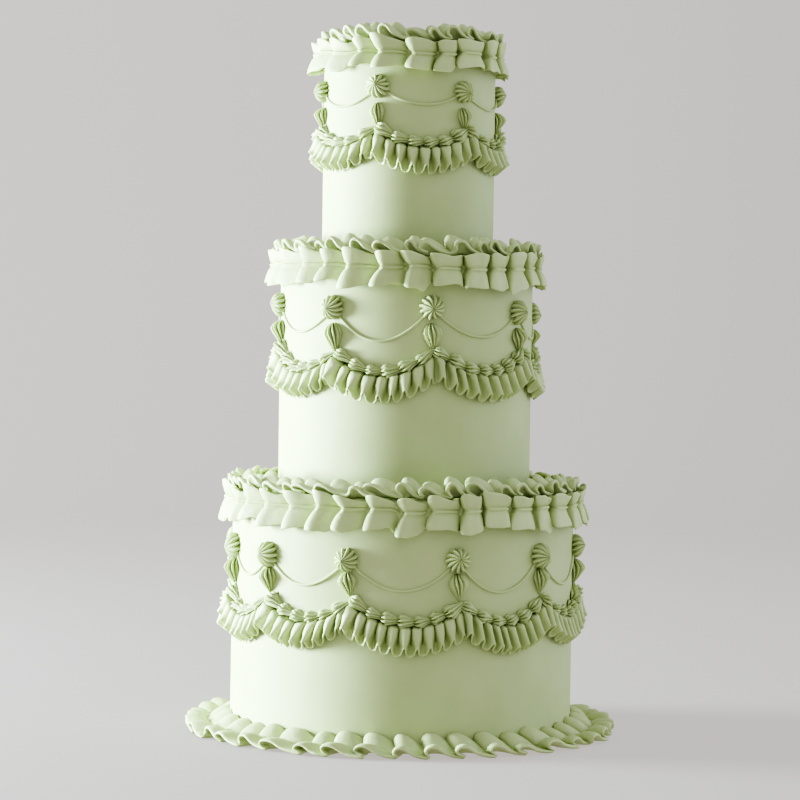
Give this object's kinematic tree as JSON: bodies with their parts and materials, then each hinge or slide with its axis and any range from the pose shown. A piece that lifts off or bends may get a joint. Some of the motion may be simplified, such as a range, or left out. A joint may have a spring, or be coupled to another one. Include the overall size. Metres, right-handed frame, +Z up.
{
  "type": "wedding cake",
  "caption": "Tall round tiered wedding cake in pale green icing, with pleated frills, rosettes, strings, shell garlands and fluted flounces.",
  "frame": {"origin": "centre of the cake's flat base", "axes": "+Z up the cake's axis, -Y is the front"},
  "size_m": [0.28, 0.28, 0.4523],
  "materials": {
    "smooth_icing": "smoothed matte buttercream icing, pale sage green with faint spatula marks",
    "piped_icing": "piped soft buttercream icing, pale sage green with a faint sheen"
  },
  "bodies": {
    "root": {"edge_frill_bottom": "piped_icing", "edge_frill_middle": "piped_icing", "edge_frill_top": "piped_icing", "flounce_bottom": "piped_icing", "flounce_middle": "piped_icing", "flounce_top": "piped_icing", "foot_ruffle": "piped_icing", "garland_bottom": "piped_icing", "garland_middle": "piped_icing", "garland_top": "piped_icing", "rosette_bottom_01": "piped_icing", "rosette_bottom_02": "piped_icing", "rosette_bottom_03": "piped_icing", "rosette_bottom_04": "piped_icing", "rosette_bottom_05": "piped_icing", "rosette_bottom_06": "piped_icing", "rosette_bottom_07": "piped_icing", "rosette_bottom_08": "piped_icing", "rosette_bottom_09": "piped_icing", "rosette_bottom_10": "piped_icing", "rosette_bottom_11": "piped_icing", "rosette_bottom_12": "piped_icing", "rosette_middle_01": "piped_icing", "rosette_middle_02": "piped_icing", "rosette_middle_03": "piped_icing", "rosette_middle_04": "piped_icing", "rosette_middle_05": "piped_icing", "rosette_middle_06": "piped_icing", "rosette_middle_07": "piped_icing", "rosette_middle_08": "piped_icing", "rosette_top_01": "piped_icing", "rosette_top_02": "piped_icing", "rosette_top_03": "piped_icing", "rosette_top_04": "piped_icing", "rosette_top_05": "piped_icing", "rosette_top_06": "piped_icing", "tier_bottom": "smooth_icing", "tier_middle": "smooth_icing", "tier_top": "smooth_icing", "top_ruffle_bottom": "piped_icing", "top_ruffle_middle": "piped_icing", "top_ruffle_top": "piped_icing"}
  },
  "joints": []
}
